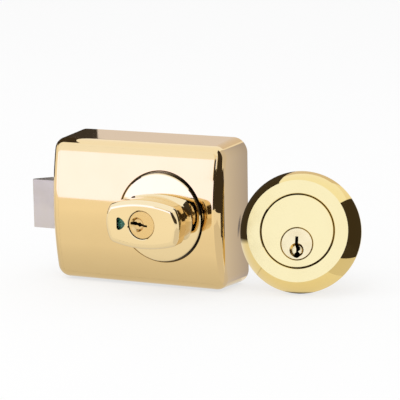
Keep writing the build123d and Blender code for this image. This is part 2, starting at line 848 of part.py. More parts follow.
with BuildPart() as retractor_screws:
    with BuildSketch(Plane.XZ.offset(retractor_back)):
        with PolarLocations(retractor_screw_circle, 3, start_angle=-90):
            Circle(retractor_screw_head)
    extrude(amount=retractor_screw_radius)
    with BuildSketch(Plane.XZ.offset(retractor_back)):
        with PolarLocations(retractor_screw_circle, 3, start_angle=-90):
            Circle(retractor_screw_radius - bearing_gap)
    extrude(amount=sleeve_end - retractor_back + retractor_screw_bite - running_gap)
    with BuildSketch(Plane.XZ.offset(retractor_back)):
        with PolarLocations(retractor_screw_circle, 3, start_angle=-90):
            Rectangle(retractor_screw_slot, 2 * retractor_screw_head)
    extrude(amount=retractor_screw_slot, mode=Mode.SUBTRACT)
save(retractor_screws.part, "retractor_screws")

with BuildPart() as drive_pin:
    with BuildSketch(Plane.XZ.offset(tail_back - running_gap)):
        with Locations((pin_rest_x, pin_rest_z)):
            Circle(drive_pin_radius)
    extrude(amount=retractor_back + retractor_thickness - tail_back + running_gap)
save(drive_pin.part, "drive_pin")

# Outside cylinder and its ring
# It stands apart from the case, leaning back on the ring's rim and the end of its tailpiece
lean = atan((ring_radius - plug_drop - tailpiece_thickness / 2) / tail_length)
turn = radians(set_turn)
outside = Plane(
    origin=(
        knob_to_end + set_gap + ring_radius * cos(turn),
        -set_forward,
        ring_radius * cos(lean) - case_height / 2,
    ),
    x_dir=(cos(turn), sin(turn), 0),
    z_dir=(sin(turn) * cos(lean), -cos(turn) * cos(lean), sin(lean)),
)
outside_side = Plane(origin=outside.origin, x_dir=outside.x_dir, z_dir=-outside.y_dir)
plug_axis = outside.origin - outside.y_dir * plug_drop
plug_plane = Plane(origin=plug_axis, x_dir=outside.x_dir, z_dir=outside.z_dir)
pin_plane = Plane(origin=plug_axis, x_dir=outside.x_dir, z_dir=outside.y_dir)
flange_back = ring_height - flange_thickness
face_height = ring_height - face_sink
body_back = face_height - body_length
spigot_radius = body_radius + spigot_step
collar_bore = spigot_radius + running_gap
collar_radius = collar_bore + ring_wall
ring_bore = flange_radius + flange_gap
hollow_radius = ring_radius - ring_wall
first_pin = face_height - pin_start
key_cuts = (0.6, -0.6, 1.1, 0.0, -0.9)
shear = plug_radius + pin_gap
pin_tops = sqrt(plug_radius**2 - pin_radius**2) - pin_gap
chamber_top = sqrt(body_radius**2 - pin_radius**2) + plug_drop
cap_radius = plug_radius + cap_wall
bevel_run = ring_radius - ring_face_radius
bevel_drop = ring_height - ring_land
bevel_side = sqrt(bevel_run**2 + bevel_drop**2)

with BuildPart() as cylinder_ring:
    with BuildSketch(outside_side):
        with BuildLine():
            Polyline(
                (ring_bore, flange_back),
                (ring_bore, ring_height - bore_lip),
                (ring_bore + bore_lip, ring_height),
                (ring_face_radius, ring_height),
            )
            ThreePointArc(
                (ring_face_radius, ring_height),
                (
                    (ring_face_radius + ring_radius) / 2 + ring_bow * bevel_drop / bevel_side,
                    (ring_height + ring_land) / 2 + ring_bow * bevel_run / bevel_side,
                ),
                (ring_radius, ring_land),
            )
            Polyline(
                (ring_radius, ring_land),
                (ring_radius, 0),
                (hollow_radius, 0),
                (ring_face_radius - ring_roof, flange_back),
                (collar_radius, flange_back),
                (collar_radius, 0),
                (collar_bore, 0),
                (collar_bore, flange_back),
                (ring_bore, flange_back),
            )
        make_face()
    revolve(axis=Axis(outside.origin, outside.z_dir))
save(cylinder_ring.part, "cylinder_ring")

with BuildPart() as cylinder_body:
    with BuildSketch(outside.offset(body_back)):
        Circle(body_radius)
    extrude(amount=-body_back)
    with BuildSketch(outside):
        Circle(spigot_radius)
    extrude(amount=flange_back)
    with BuildSketch(outside.offset(flange_back)):
        Circle(flange_radius)
    extrude(amount=face_height - flange_back)
    chamfer(cylinder_body.faces().sort_by(Axis(outside.origin, outside.z_dir))[-1].edges(), length=bore_lip)
    with BuildSketch(plug_plane.offset(body_back)):
        Circle(plug_radius + pin_gap)
    extrude(amount=body_length, mode=Mode.SUBTRACT)
    with BuildSketch(plug_plane.offset(face_height)):
        Circle(plug_radius + pin_gap + bore_lip)
    extrude(amount=-bore_lip, taper=45, mode=Mode.SUBTRACT)
    with BuildSketch(pin_plane):
        with Locations(*[(0, -first_pin + index * pin_pitch) for index in range(pin_count)]):
            Circle(pin_radius + pin_gap)
    extrude(amount=2 * body_radius, mode=Mode.SUBTRACT)
    with BuildSketch(outside.offset(body_back)):
        with GridLocations(connecting_screw_spacing, 1, 2, 1):
            Circle(connecting_screw_radius)
    extrude(amount=connecting_screw_depth, mode=Mode.SUBTRACT)
save(cylinder_body.part, "cylinder_body")

with BuildPart() as outside_plug:
    with BuildSketch(plug_plane.offset(body_back)):
        Circle(plug_radius)
    extrude(amount=body_length)
    chamfer(outside_plug.faces().sort_by(Axis(plug_axis, outside.z_dir))[-1].edges(), length=plug_chamfer)
    with BuildSketch(plug_plane.offset(body_back - cap_length)):
        Circle(stub_radius)
    extrude(amount=cap_length)
    with BuildSketch(plug_plane.offset(face_height)):
        with BuildLine():
            Polyline(
                (-0.8, 3.4),
                (0.6, 3.4),
                (0.6, -0.6),
                (1.6, -1.6),
                (1.5, -2.7),
                (0.6, -3.5),
                (1.5, -4.4),
                (1.3, -6.1),
                (0.3, -6.6),
                (-1.1, -6.2),
                (-1.2, -4.6),
                (-0.4, -3.8),
                (-0.4, -2.2),
                (-0.9, -0.8),
                close=True,
            )
        make_face()
    extrude(amount=-body_length + tail_grip + key_stop, mode=Mode.SUBTRACT)
    with BuildSketch(plug_plane.offset(face_height)):
        with Locations((0, -outside_dimple_drop)):
            Circle(outside_dimple_radius)
    extrude(amount=-dimple_depth, taper=dimple_slope, mode=Mode.SUBTRACT)
    for index in range(pin_count):
        with BuildSketch(pin_plane.offset(key_cuts[index])):
            with Locations((0, -first_pin + index * pin_pitch)):
                Circle(pin_radius + pin_gap)
        extrude(amount=2 * plug_radius, mode=Mode.SUBTRACT)
    with BuildSketch(plug_plane.offset(body_back - cap_length)):
        Rectangle(tail_width + 2 * pin_gap, tailpiece_thickness + 2 * pin_gap)
    extrude(amount=cap_length + tail_grip, mode=Mode.SUBTRACT)
save(outside_plug.part, "outside_plug")

with BuildPart() as key_pins:
    for index in range(pin_count):
        with BuildSketch(pin_plane.offset(key_cuts[index] + pin_gap)):
            with Locations((0, -first_pin + index * pin_pitch)):
                Circle(pin_radius)
        extrude(amount=pin_tops - key_cuts[index] - pin_gap)
save(key_pins.part, "key_pins")

with BuildPart() as driver_pins:
    with BuildSketch(pin_plane.offset(shear)):
        with Locations(*[(0, -first_pin + index * pin_pitch) for index in range(pin_count)]):
            Circle(pin_radius)
    extrude(amount=driver_length)
save(driver_pins.part, "driver_pins")

with BuildPart() as pin_springs:
    with BuildSketch(pin_plane.offset(shear + driver_length)):
        with Locations(*[(0, -first_pin + index * pin_pitch) for index in range(pin_count)]):
            Circle(pin_spring_radius)
            Circle(pin_spring_radius - pin_spring_wall, mode=Mode.SUBTRACT)
    extrude(amount=chamber_top - cover_length - shear - driver_length)
save(pin_springs.part, "pin_springs")

with BuildPart() as chamber_plugs:
    with BuildSketch(pin_plane.offset(chamber_top - cover_length)):
        with Locations(*[(0, -first_pin + index * pin_pitch) for index in range(pin_count)]):
            Circle(pin_radius)
    extrude(amount=cover_length - pin_gap)
save(chamber_plugs.part, "chamber_plugs")

with BuildPart() as tail_cap:
    with BuildSketch(plug_plane.offset(body_back - cap_length - pin_gap)):
        Circle(cap_radius)
        Circle(stub_radius + pin_gap, mode=Mode.SUBTRACT)
    extrude(amount=cap_length)
save(tail_cap.part, "tail_cap")

with BuildPart() as tailpiece:
    with BuildSketch(plug_plane.offset(-tail_length)):
        Rectangle(tail_width, tailpiece_thickness)
    extrude(amount=tail_length + body_back + tail_grip - pin_gap)
    for index in range(score_count):
        for side in (-1, 1):
            with BuildSketch(plug_plane.offset(-tail_length + (index + 1) * score_pitch)):
                with Locations((side * tail_width / 2, 0)):
                    Rectangle(2 * score_depth, 2 * tailpiece_thickness)
            extrude(amount=score_depth, mode=Mode.SUBTRACT)
save(tailpiece.part, "tailpiece")
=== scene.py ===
import json
import math

import bpy
from mathutils import Matrix, Vector


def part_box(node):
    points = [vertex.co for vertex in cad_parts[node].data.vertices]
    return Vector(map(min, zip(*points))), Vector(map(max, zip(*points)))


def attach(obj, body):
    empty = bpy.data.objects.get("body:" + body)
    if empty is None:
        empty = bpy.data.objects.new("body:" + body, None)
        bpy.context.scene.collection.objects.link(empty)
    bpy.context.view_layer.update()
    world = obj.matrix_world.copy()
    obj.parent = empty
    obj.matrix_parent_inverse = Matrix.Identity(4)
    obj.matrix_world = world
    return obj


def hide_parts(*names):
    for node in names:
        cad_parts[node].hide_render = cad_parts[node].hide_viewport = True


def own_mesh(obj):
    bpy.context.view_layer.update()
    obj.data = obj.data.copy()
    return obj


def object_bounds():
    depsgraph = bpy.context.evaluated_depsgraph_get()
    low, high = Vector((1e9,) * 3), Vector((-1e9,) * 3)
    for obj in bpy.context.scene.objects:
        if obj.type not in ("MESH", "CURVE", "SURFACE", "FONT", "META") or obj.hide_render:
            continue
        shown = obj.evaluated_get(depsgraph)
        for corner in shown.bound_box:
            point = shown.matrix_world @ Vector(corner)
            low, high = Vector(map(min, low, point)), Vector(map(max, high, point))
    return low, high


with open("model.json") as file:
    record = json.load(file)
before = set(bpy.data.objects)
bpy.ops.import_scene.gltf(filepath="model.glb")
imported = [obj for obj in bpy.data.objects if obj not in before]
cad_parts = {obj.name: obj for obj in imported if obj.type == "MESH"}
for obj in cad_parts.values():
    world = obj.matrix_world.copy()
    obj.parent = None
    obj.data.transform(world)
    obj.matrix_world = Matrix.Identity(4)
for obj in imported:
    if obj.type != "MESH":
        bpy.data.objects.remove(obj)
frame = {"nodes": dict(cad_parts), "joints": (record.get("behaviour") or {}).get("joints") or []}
cadLow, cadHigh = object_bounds()
floorHeight = cadLow.z
print("frame loaded:", len(frame["nodes"]), "nodes")


# Helpers, and the shader groups that several finishes share

def newGroup(name, inputs, outputs):
    group = bpy.data.node_groups.new(name, "ShaderNodeTree")
    for socketName, kind, default in inputs:
        socket = group.interface.new_socket(socketName, in_out="INPUT", socket_type=kind)
        socket.default_value = default
    for socketName, kind in outputs:
        group.interface.new_socket(socketName, in_out="OUTPUT", socket_type=kind)
    return group, group.nodes.new("NodeGroupInput"), group.nodes.new("NodeGroupOutput")


def addNode(tree, kind, settings=None, values=None, links=None):
    node = tree.nodes.new(kind)
    for key, value in (settings or {}).items():
        setattr(node, key, value)
    for key, value in (values or {}).items():
        node.inputs[key].default_value = value
    for key, source in (links or {}).items():
        tree.links.new(source, node.inputs[key])
    return node


def addObject(name, data):
    thing = bpy.data.objects.new(name, data)
    bpy.context.collection.objects.link(thing)
    return thing


def makePolishGroup():
    group, given, result = newGroup(
        "polish",
        [
            ("Colour", "NodeSocketColor", (0.8, 0.6, 0.3, 1)),
            ("Stain", "NodeSocketColor", (0.5, 0.3, 0.1, 1)),
            ("Stain amount", "NodeSocketFloat", 0.15),
            ("Patch size", "NodeSocketFloat", 40.0),
            ("Gloss low", "NodeSocketFloat", 0.05),
            ("Gloss high", "NodeSocketFloat", 0.12),
            ("Scratch size", "NodeSocketFloat", 900.0),
        ],
        [("Colour", "NodeSocketColor"), ("Roughness", "NodeSocketFloat"), ("Height", "NodeSocketFloat")],
    )
    place = addNode(group, "ShaderNodeTexCoord")
    patches = addNode(
        group, "ShaderNodeTexNoise", values={"Detail": 3.0, "Roughness": 0.55},
        links={"Vector": place.outputs["Object"], "Scale": given.outputs["Patch size"]},
    )
    stainMask = addNode(
        group, "ShaderNodeMapRange", values={"From Min": 0.45, "From Max": 0.75},
        links={"Value": patches.outputs["Fac"], "To Max": given.outputs["Stain amount"]},
    )
    colour = addNode(
        group, "ShaderNodeMix", settings={"data_type": "RGBA"},
        links={
            0: stainMask.outputs["Result"],
            6: given.outputs["Colour"], 7: given.outputs["Stain"],
        },
    )
    wipes = addNode(
        group, "ShaderNodeTexNoise", values={"Detail": 5.0, "Roughness": 0.6, "Scale": 130.0},
        links={"Vector": place.outputs["Object"]},
    )
    gloss = addNode(
        group, "ShaderNodeMapRange", values={"From Min": 0.3, "From Max": 0.7},
        links={
            "Value": wipes.outputs["Fac"],
            "To Min": given.outputs["Gloss low"], "To Max": given.outputs["Gloss high"],
        },
    )
    stretched = addNode(
        group, "ShaderNodeMapping", values={"Scale": (0.06, 0.3, 1.0), "Rotation": (0.2, 0.1, 0.3)},
        links={"Vector": place.outputs["Object"]},
    )
    scratches = addNode(
        group, "ShaderNodeTexNoise", values={"Detail": 2.0, "Roughness": 0.7},
        links={"Vector": stretched.outputs["Vector"], "Scale": given.outputs["Scratch size"]},
    )
    group.links.new(colour.outputs[2], result.inputs["Colour"])
    group.links.new(gloss.outputs["Result"], result.inputs["Roughness"])
    group.links.new(scratches.outputs["Fac"], result.inputs["Height"])
    return group


# Painted shade: ambient occlusion darkens crevices, grooves and gaps toward a near-black shade colour, and
# also dulls them like grime
def makeShadeAndGrimeGroup():
    group, given, result = newGroup(
        "grime",
        [
            ("Colour", "NodeSocketColor", (0.8, 0.6, 0.3, 1)),
            ("Grime", "NodeSocketColor", (0.05, 0.03, 0.02, 1)),
            ("Roughness", "NodeSocketFloat", 0.1),
            ("Reach", "NodeSocketFloat", 0.0008),
            ("Amount", "NodeSocketFloat", 0.8),
        ],
        [("Colour", "NodeSocketColor"), ("Roughness", "NodeSocketFloat")],
    )
    # Painted shade: the more enclosed a spot, the more of the shade colour it takes
    corners = addNode(
        group, "ShaderNodeAmbientOcclusion", settings={"samples": 16},
        links={"Distance": given.outputs["Reach"]},
    )
    depth = addNode(
        group, "ShaderNodeMapRange", values={"From Min": 0.85, "From Max": 0.40},
        links={"Value": corners.outputs["AO"], "To Max": given.outputs["Amount"]},
    )
    colour = addNode(
        group, "ShaderNodeMix", settings={"data_type": "RGBA"},
        links={0: depth.outputs["Result"], 6: given.outputs["Colour"], 7: given.outputs["Grime"]},
    )
    dull = addNode(
        group, "ShaderNodeMath", settings={"operation": "MULTIPLY_ADD", "use_clamp": True},
        values={1: 0.5}, links={0: depth.outputs["Result"], 2: given.outputs["Roughness"]},
    )
    group.links.new(colour.outputs[2], result.inputs["Colour"])
    group.links.new(dull.outputs["Value"], result.inputs["Roughness"])
    return group


polishGroup = makePolishGroup()
shadeAndGrimeGroup = makeShadeAndGrimeGroup()


def metalFinish(name, look):
    material = bpy.data.materials.new(name)
    material.use_nodes = True
    tree = material.node_tree
    shader = tree.nodes["Principled BSDF"]
    marks = addNode(
        tree, "ShaderNodeGroup", settings={"node_tree": polishGroup},
        values={
            "Colour": (*look["colour"], 1), "Stain": (*look["stain"], 1),
            "Stain amount": look["stainAmount"], "Patch size": look["patchSize"],
            "Gloss low": look["gloss"][0], "Gloss high": look["gloss"][1],
            "Scratch size": look["scratchSize"],
        },
    )
    bump = addNode(
        tree, "ShaderNodeBump",
        values={"Strength": look["bumpStrength"], "Distance": look["bumpDepth"]},
        links={"Height": marks.outputs["Height"]},
    )
    # Painted shade in crevices and gaps, found by ambient occlusion, with a grime-like rise in roughness
    # there
    grime = addNode(
        tree, "ShaderNodeGroup", settings={"node_tree": shadeAndGrimeGroup},
        values={
            "Grime": (0.035, 0.022, 0.012, 1), "Reach": look.get("shadeAndGrimeReach", 0.0008),
            "Amount": look.get("shadeAndGrimeAmount", 0.85),
        },
        links={"Colour": marks.outputs["Colour"], "Roughness": marks.outputs["Roughness"]},
    )
    tree.links.new(grime.outputs["Colour"], shader.inputs["Base Color"])
    tree.links.new(grime.outputs["Roughness"], shader.inputs["Roughness"])
    tree.links.new(bump.outputs["Normal"], shader.inputs["Normal"])
    shader.inputs["Metallic"].default_value = look.get("metallic", 1.0)
    shader.inputs["Coat Weight"].default_value = look.get("coat", 0.0)
    shader.inputs["Coat Roughness"].default_value = 0.03
    shader.inputs["Coat IOR"].default_value = 1.5
    return material


brassLook = {
    "colour": (0.84, 0.61, 0.29),
    "stain": (0.76, 0.53, 0.23),
    "stainAmount": 0.25,
    "patchSize": 35.0,
    "gloss": (0.04, 0.075),
    "scratchSize": 900.0,
    "bumpStrength": 0.15,
    "bumpDepth": 0.000004,
    "coat": 0.6,
    "shadeAndGrimeReach": 0.0016,
    "shadeAndGrimeAmount": 0.95,
}
yellowBrass = brassLook | {"colour": (0.86, 0.65, 0.25), "stain": (0.78, 0.56, 0.19), "coat": 0.0}
finishes = {
    "case_brass": brassLook,
    "knob_brass": brassLook | {"colour": (0.87, 0.68, 0.37), "stain": (0.80, 0.60, 0.30)},
    "ring_brass": yellowBrass,
    "cylinder_brass": yellowBrass,
    "plug_brass": brassLook | {
        "colour": (0.78, 0.53, 0.21), "gloss": (0.12, 0.2), "bumpStrength": 0.3, "shadeAndGrimeReach": 0.003,
    },
    "outside_plug": brassLook | {
        "colour": (0.88, 0.67, 0.30), "stain": (0.80, 0.58, 0.22), "coat": 0.0,
        "gloss": (0.08, 0.14), "shadeAndGrimeReach": 0.003,
    },
    "pin_brass": brassLook | {"coat": 0.0, "gloss": (0.2, 0.35), "shadeAndGrimeReach": 0.003},
    "bolt_steel": {
        "colour": (0.60, 0.54, 0.46), "stain": (0.42, 0.37, 0.32), "stainAmount": 0.5,
        "patchSize": 60.0, "gloss": (0.28, 0.42), "scratchSize": 700.0,
        "bumpStrength": 0.4, "bumpDepth": 0.00001,
    },
    "plate_steel": {
        "colour": (0.62, 0.60, 0.55), "stain": (0.48, 0.44, 0.34), "stainAmount": 0.6,
        "patchSize": 70.0, "gloss": (0.3, 0.45), "scratchSize": 500.0,
        "bumpStrength": 0.3, "bumpDepth": 0.00001,
    },
    "small_steel": {
        "colour": (0.60, 0.60, 0.60), "stain": (0.4, 0.4, 0.4), "stainAmount": 0.4,
        "patchSize": 90.0, "gloss": (0.22, 0.35), "scratchSize": 900.0,
        "bumpStrength": 0.3, "bumpDepth": 0.000006,
    },
    "spring_steel": {
        "colour": (0.45, 0.45, 0.47), "stain": (0.25, 0.24, 0.24), "stainAmount": 0.4,
        "patchSize": 120.0, "gloss": (0.2, 0.3), "scratchSize": 1200.0,
        "bumpStrength": 0.3, "bumpDepth": 0.000004,
    },
    "retractor_steel": {
        "colour": (0.50, 0.50, 0.49), "stain": (0.33, 0.32, 0.30), "stainAmount": 0.5,
        "patchSize": 80.0, "gloss": (0.35, 0.5), "scratchSize": 500.0,
        "bumpStrength": 0.35, "bumpDepth": 0.00001,
    },
    "flag_steel": {
        "colour": (0.66, 0.66, 0.66), "stain": (0.5, 0.5, 0.5), "stainAmount": 0.3,
        "patchSize": 150.0, "gloss": (0.25, 0.4), "scratchSize": 900.0,
        "bumpStrength": 0.2, "bumpDepth": 0.000004,
    },
    "green_enamel": {
        "colour": (0.07, 0.42, 0.26), "stain": (0.03, 0.28, 0.15), "stainAmount": 0.3,
        "patchSize": 400.0, "gloss": (0.15, 0.25), "scratchSize": 1500.0,
        "bumpStrength": 0.2, "bumpDepth": 0.000004, "metallic": 0.0, "coat": 0.5, "shadeAndGrimeAmount": 0.0,
    },
    "red_enamel": {
        "colour": (0.55, 0.02, 0.02), "stain": (0.3, 0.01, 0.01), "stainAmount": 0.6,
        "patchSize": 400.0, "gloss": (0.15, 0.25), "scratchSize": 1500.0,
        "bumpStrength": 0.2, "bumpDepth": 0.000004, "metallic": 0.0, "coat": 0.5, "shadeAndGrimeAmount": 0.0,
    },
}
materials = {name: metalFinish(name, look) for name, look in finishes.items()}


windowLook = {
    "colour": (0.02, 0.05, 0.04),
    "stain": (0.01, 0.03, 0.02),
    "gloss": (0.03, 0.08),
    "ior": 1.49,
    "glareShare": 1.2,
    "haze": 0.06,
}


def windowFinish(look):
    material = bpy.data.materials.new("window_plastic")
    material.use_nodes = True
    tree = material.node_tree
    shader = tree.nodes["Principled BSDF"]
    marks = addNode(
        tree, "ShaderNodeGroup", settings={"node_tree": polishGroup},
        values={
            "Colour": (*look["colour"], 1), "Stain": (*look["stain"], 1),
            "Gloss low": look["gloss"][0], "Gloss high": look["gloss"][1],
        },
    )
    edge = addNode(tree, "ShaderNodeFresnel", values={"IOR": look["ior"]})
    cover = addNode(  # the flag shows through, and the glare hides it at a slant
        tree, "ShaderNodeMath", settings={"operation": "MULTIPLY_ADD", "use_clamp": True},
        values={1: look["glareShare"], 2: look["haze"]}, links={0: edge.outputs["Fac"]},
    )
    tree.links.new(marks.outputs["Colour"], shader.inputs["Base Color"])
    tree.links.new(marks.outputs["Roughness"], shader.inputs["Roughness"])
    tree.links.new(cover.outputs["Value"], shader.inputs["Alpha"])
    shader.inputs["IOR"].default_value = look["ior"]
    return material


materials["window_plastic"] = windowFinish(windowLook)

for name, thing in frame["nodes"].items():
    for slot in thing.material_slots:
        # A finish with a piece's own name is for that piece alone
        slot.material = materials[name if name in materials else slot.material.name.split(".")[0]]
print("finishes made:", len(materials))


# Smooth skin over the knob's neck and the sides of its grip

knobSkin = {
    "grip": (0.0378, 0.0228),
    "gripBack": 0.0395,
    "backRound": 0.0012,
    "edgeRound": 0.0026,
    "flare": (0.0345, 0.0246, 0.0287),
    "waist": (0.0315, 0.0180, 0.0350),
    "endBow": 0.0024,
    "sideBow": 0.0026,
    "corner": 0.0032,
    "edgeTurn": 84,
    "sharpAngle": 35,
    "lift": 0.00005,
    "pointsPerArc": 24,
    "neckRows": 40,
    "roundRows": 20,
}


def barrelOutline(width, height, look):
    topBow, endBow, corner = look["sideBow"], look["endBow"], look["corner"]
    halfTop, halfEnd = width / 2 - endBow, height / 2 - topBow
    topRadius = (halfTop**2 + topBow**2) / (2 * topBow)
    endRadius = (halfEnd**2 + endBow**2) / (2 * endBow)
    topCentre = Vector((0, height / 2 - topRadius))
    endCentre = Vector((width / 2 - endRadius, 0))
    # The corner's circle touches both arcs from inside
    reachTop, reachEnd = topRadius - corner, endRadius - corner
    between = endCentre - topCentre
    apart = between.length
    along = (apart**2 + reachTop**2 - reachEnd**2) / (2 * apart)
    off = math.sqrt(max(reachTop**2 - along**2, 0))
    unit = between / apart
    centres = [topCentre + unit * along + Vector((-unit.y, unit.x)) * off * sign for sign in (1, -1)]
    cornerCentre = max(centres, key=lambda c: c.x + c.y)
    endAngle = math.atan2(*(cornerCentre - endCentre).yx)
    topAngle = math.atan2(*(cornerCentre - topCentre).yx)
    arcs = (
        (endCentre, endRadius, 0.0, endAngle),
        (cornerCentre, corner, endAngle, topAngle),
        (topCentre, topRadius, topAngle, math.pi / 2),
    )
    quarter = []
    count = look["pointsPerArc"]
    for centre, radius, start, end in arcs:
        for step in range(count):
            angle = start + (end - start) * step / count
            normal = Vector((math.cos(angle), math.sin(angle)))
            quarter.append((centre + normal * radius, normal))
    quarter.append((Vector((0, height / 2)), Vector((0, 1))))
    upper = quarter + [(Vector((-p.x, p.y)), Vector((-n.x, n.y))) for p, n in reversed(quarter[:-1])]
    lower = [(Vector((p.x, -p.y)), Vector((n.x, -n.y))) for p, n in reversed(upper[1:-1])]
    return upper + lower


def makeKnobSkin(look):
    back, backRound, edgeRound = look["gripBack"], look["backRound"], look["edgeRound"]
    front = -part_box("knob")[0].y
    gripWidth, gripHeight = look["grip"]
    grip = barrelOutline(gripWidth, gripHeight, look)
    top = barrelOutline(gripWidth - 2 * backRound, gripHeight - 2 * backRound, look)
    flare = barrelOutline(*look["flare"][:2], look)
    waist = barrelOutline(*look["waist"][:2], look)
    depths = (look["flare"][2], look["waist"][2], back + backRound)
    rows = []
    # The neck runs through three outlines in one curve: flare, waist and the grip's back
    for step in range(look["neckRows"] + 1):
        depth = depths[0] + (back - depths[0]) * step / look["neckRows"]
        shares = []
        for a in range(3):
            others = [depths[b] for b in range(3) if b != a]
            shares.append(
                (depth - others[0]) * (depth - others[1])
                / ((depths[a] - others[0]) * (depths[a] - others[1]))
            )
        row = []
        for points in zip(flare, waist, top):
            place = sum((p * share for (p, n), share in zip(points, shares)), Vector((0, 0)))
            row.append((place + points[1][1] * look["lift"], depth))
        rows.append(row)
    for step in range(look["roundRows"] + 1):
        turn = math.pi / 2 * step / look["roundRows"]
        inset = backRound * (1 - math.sin(turn)) - look["lift"]
        depth = back + backRound * (1 - math.cos(turn))
        rows.append([(p - n * inset, depth) for p, n in grip])
    for step in range(look["roundRows"] + 1):
        turn = math.radians(look["edgeTurn"]) * step / look["roundRows"]
        inset = edgeRound * (1 - math.cos(turn)) - look["lift"]
        depth = front - edgeRound * (1 - math.sin(turn))
        rows.append([(p - n * inset, depth) for p, n in grip])
    around = len(grip)
    points = [(p.x, -depth, p.y) for row in rows for p, depth in row]
    faces = []
    for r in range(len(rows) - 1):
        for k in range(around):
            nextK = (k + 1) % around
            faces.append((
                r * around + k, r * around + nextK, (r + 1) * around + nextK, (r + 1) * around + k,
            ))
    mesh = bpy.data.meshes.new("knobSkin")
    mesh.from_pydata(points, [], faces)
    mesh.shade_smooth()
    mesh.set_sharp_from_angle(angle=math.radians(look["sharpAngle"]))
    skin = addObject("knobSkin", mesh)
    mesh.materials.append(materials["knob_brass"])
    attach(skin, "turn_knob")
    print("knob skin made:", len(mesh.polygons), "faces")


makeKnobSkin(knobSkin)


# Coils: the springs of the pins and of the bolt, and the threads of the nuts

def makeCoilTool():
    tool = bpy.data.node_groups.new("coils", "GeometryNodeTree")
    for socketName, kind, default in (
        ("Count", "NodeSocketInt", 5),
        ("Start", "NodeSocketVector", (0, 0, 0)),
        ("Step", "NodeSocketVector", (0, 0.004, 0)),
        ("Direction", "NodeSocketVector", (0, 0, 1)),
        ("Length", "NodeSocketFloat", 0.008),
        ("Radius", "NodeSocketFloat", 0.0012),
        ("Wire", "NodeSocketFloat", 0.00015),
        ("Turns", "NodeSocketFloat", 9.0),
        ("Material", "NodeSocketMaterial", None),
    ):
        socket = tool.interface.new_socket(socketName, in_out="INPUT", socket_type=kind)
        if default is not None:
            socket.default_value = default
    tool.interface.new_socket("Geometry", in_out="OUTPUT", socket_type="NodeSocketGeometry")
    given, result = tool.nodes.new("NodeGroupInput"), tool.nodes.new("NodeGroupOutput")
    coil = addNode(
        tool, "GeometryNodeCurveSpiral", values={"Resolution": 24},
        links={
            "Rotations": given.outputs["Turns"], "Start Radius": given.outputs["Radius"],
            "End Radius": given.outputs["Radius"], "Height": given.outputs["Length"],
        },
    )
    half = addNode(
        tool, "ShaderNodeMath", settings={"operation": "MULTIPLY"}, values={1: -0.5},
        links={0: given.outputs["Length"]},
    )
    drop = addNode(tool, "ShaderNodeCombineXYZ", links={"Z": half.outputs["Value"]})
    centred = addNode(
        tool, "GeometryNodeTransform",
        links={"Geometry": coil.outputs["Curve"], "Translation": drop.outputs["Vector"]},
    )
    profile = addNode(
        tool, "GeometryNodeCurvePrimitiveCircle", values={"Resolution": 8},
        links={"Radius": given.outputs["Wire"]},
    )
    wire = addNode(
        tool, "GeometryNodeCurveToMesh", values={"Fill Caps": True},
        links={"Curve": centred.outputs["Geometry"], "Profile Curve": profile.outputs["Curve"]},
    )
    places = addNode(
        tool, "GeometryNodeMeshLine",
        links={
            "Count": given.outputs["Count"], "Start Location": given.outputs["Start"],
            "Offset": given.outputs["Step"],
        },
    )
    turned = addNode(
        tool, "FunctionNodeAlignRotationToVector", settings={"axis": "Z"},
        links={"Vector": given.outputs["Direction"]},
    )
    copies = addNode(
        tool, "GeometryNodeInstanceOnPoints",
        links={
            "Points": places.outputs["Mesh"], "Instance": wire.outputs["Mesh"],
            "Rotation": turned.outputs["Rotation"],
        },
    )
    real = addNode(tool, "GeometryNodeRealizeInstances", links={"Geometry": copies.outputs["Instances"]})
    painted = addNode(
        tool, "GeometryNodeSetMaterial",
        links={"Geometry": real.outputs["Geometry"], "Material": given.outputs["Material"]},
    )
    tool.links.new(painted.outputs["Geometry"], result.inputs["Geometry"])
    return tool


coilTool = makeCoilTool()
coilInputs = {
    item.name: item.identifier for item in coilTool.interface.items_tree
    if item.item_type == "SOCKET" and item.in_out == "INPUT"
}


def makeCoils(name, body, slotName, sets):
    meshes = []
    for given in sets:
        maker = addObject(name, bpy.data.meshes.new(name))
        modifier = maker.modifiers.new("coils", "NODES")
        modifier.node_group = coilTool
        for key, value in given.items():
            modifier[coilInputs[key]] = value
        modifier[coilInputs["Material"]] = materials[slotName]
        seen = maker.evaluated_get(bpy.context.evaluated_depsgraph_get())
        meshes.append(bpy.data.meshes.new_from_object(seen))
        bpy.data.objects.remove(maker)
    points, faces = [], []
    for mesh in meshes:
        start = len(points)
        points += [v.co.copy() for v in mesh.vertices]
        faces += [tuple(start + v for v in face.vertices) for face in mesh.polygons]
    whole = bpy.data.meshes.new(name)
    whole.from_pydata(points, [], faces)
    whole.shade_smooth()
    whole.materials.append(materials[slotName])
    coils = addObject(name, whole)
    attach(coils, body)
    return coils


def middle(node):
    low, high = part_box(node)
    return (low + high) / 2


pinSpringLook = {
    "count": 5,
    "pitch": 0.004,
    "length": 0.0070,
    "radius": 0.00112,
    "wire": 0.00016,
    "turns": 8.0,
}


def makePinSprings(look):
    plugJoint = next(joint for joint in frame["joints"] if joint["name"] == "outside_key_turn")
    axis = Vector(plugJoint["axis"]).normalized()
    place = middle("pin_springs")
    pinWay = (place - middle("driver_pins")).normalized()
    pinWay = (pinWay - axis * pinWay.dot(axis)).normalized()
    springs = makeCoils(
        "pinSprings", "lock_case", "spring_steel",
        [{
            "Count": look["count"], "Start": place - axis * (look["count"] - 1) / 2 * look["pitch"],
            "Step": axis * look["pitch"], "Direction": pinWay, "Length": look["length"],
            "Radius": look["radius"], "Wire": look["wire"], "Turns": look["turns"],
        }],
    )
    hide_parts("pin_springs")


nutThreadLook = {
    "nutRadius": 0.0035,
    "lengthShare": 0.9,
    "radius": 0.00163,
    "wire": 0.00016,
    "turns": 10.0,
}


